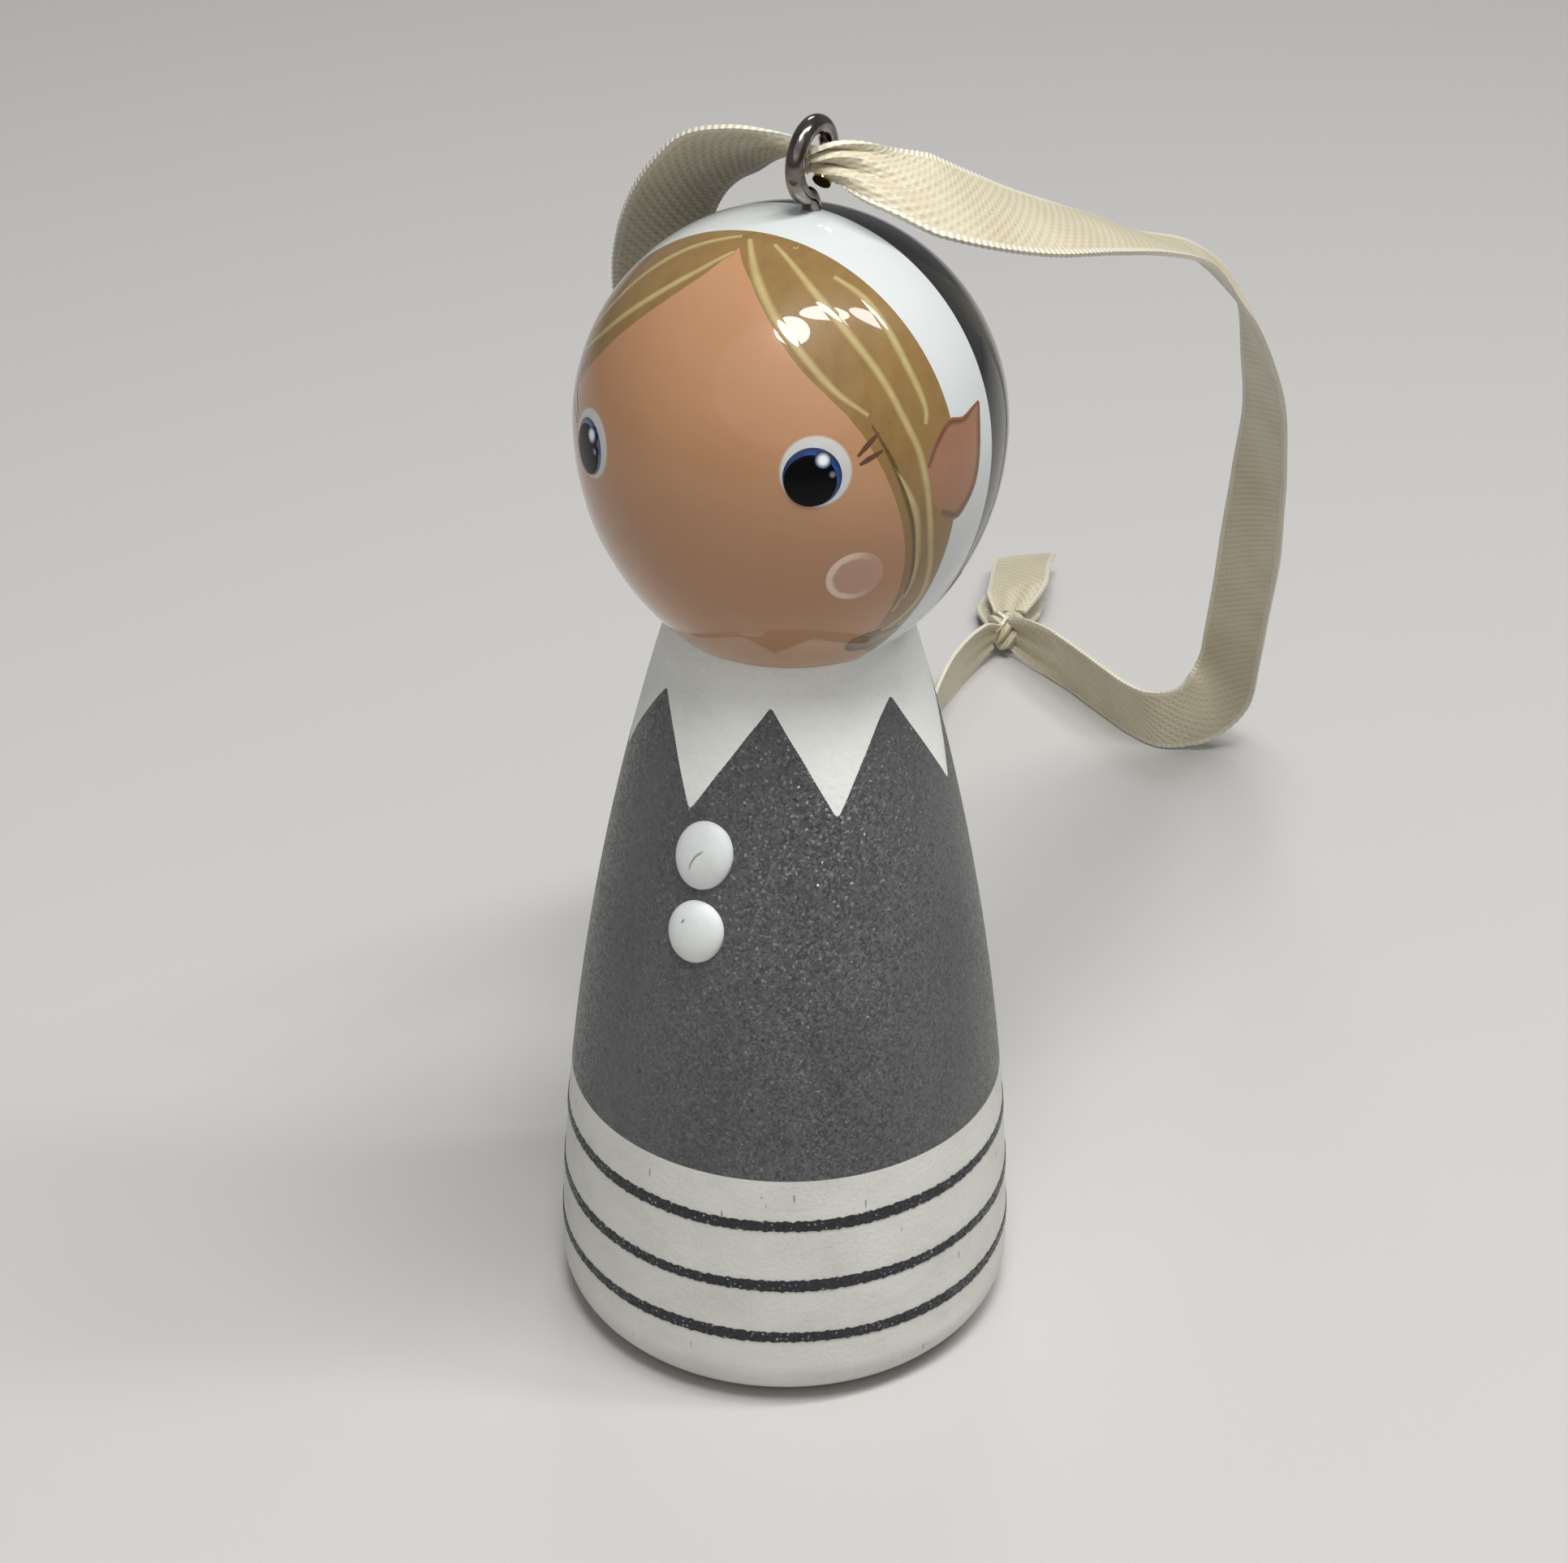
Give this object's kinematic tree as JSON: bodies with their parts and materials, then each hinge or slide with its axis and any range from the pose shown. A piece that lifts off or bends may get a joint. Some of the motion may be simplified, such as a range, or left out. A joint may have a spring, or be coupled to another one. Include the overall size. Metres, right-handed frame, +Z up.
{
  "type": "peg doll",
  "caption": "Turned wooden peg doll in a hood and tunic, with a painted face, a screw eye in its crown and a ribbon hanging loop.",
  "frame": {"origin": "centre of the flat sole, where the turning axis meets the surface that the doll stands on", "axes": "+Z up along the turning axis; -Y out of the face; +X to the doll's own left"},
  "size_m": [0.0562, 0.1393, 0.0964],
  "materials": {
    "bare_wood": "sanded bare hardwood",
    "skin_paint": "acrylic paint under gloss varnish",
    "hair_paint": "acrylic paint under gloss varnish",
    "hood_paint": "acrylic paint under gloss varnish",
    "varnished_white": "white acrylic paint under gloss varnish",
    "iris_paint": "blue dot under gloss varnish",
    "pupil_paint": "black dot under gloss varnish",
    "cheek_paint": "pink dot under gloss varnish",
    "chalk_white": "matt white acrylic paint with a little grain",
    "tunic_paint": "grey pearl acrylic paint with a brushed, stippled surface",
    "line_paint": "dark grey paint pen",
    "button_paint": "raised dot of thick white paint",
    "dark_steel": "plain steel wire, slightly tarnished",
    "ribbon": "cream twill ribbon with a satin sheen"
  },
  "bodies": {
    "root": {"wooden_peg": "bare_wood", "face_skin": "skin_paint", "hair": "hair_paint", "hat_band": "varnished_white", "hood": "hood_paint", "ear_left": "skin_paint", "ear_right": "skin_paint", "eye_white_left": "varnished_white", "eye_white_right": "varnished_white", "iris_left": "iris_paint", "iris_right": "iris_paint", "pupil_left": "pupil_paint", "pupil_right": "pupil_paint", "cheek_left": "cheek_paint", "cheek_right": "cheek_paint", "collar": "chalk_white", "tunic": "tunic_paint", "hem": "chalk_white", "hem_line_top": "line_paint", "hem_line_middle": "line_paint", "hem_line_bottom": "line_paint", "button_upper": "button_paint", "button_lower": "button_paint", "screw_eye": "dark_steel", "ribbon_right_run": "ribbon", "ribbon_left_run": "ribbon", "ribbon_knot": "ribbon", "ribbon_tail_short": "ribbon", "ribbon_tail_long": "ribbon"}
  },
  "joints": []
}
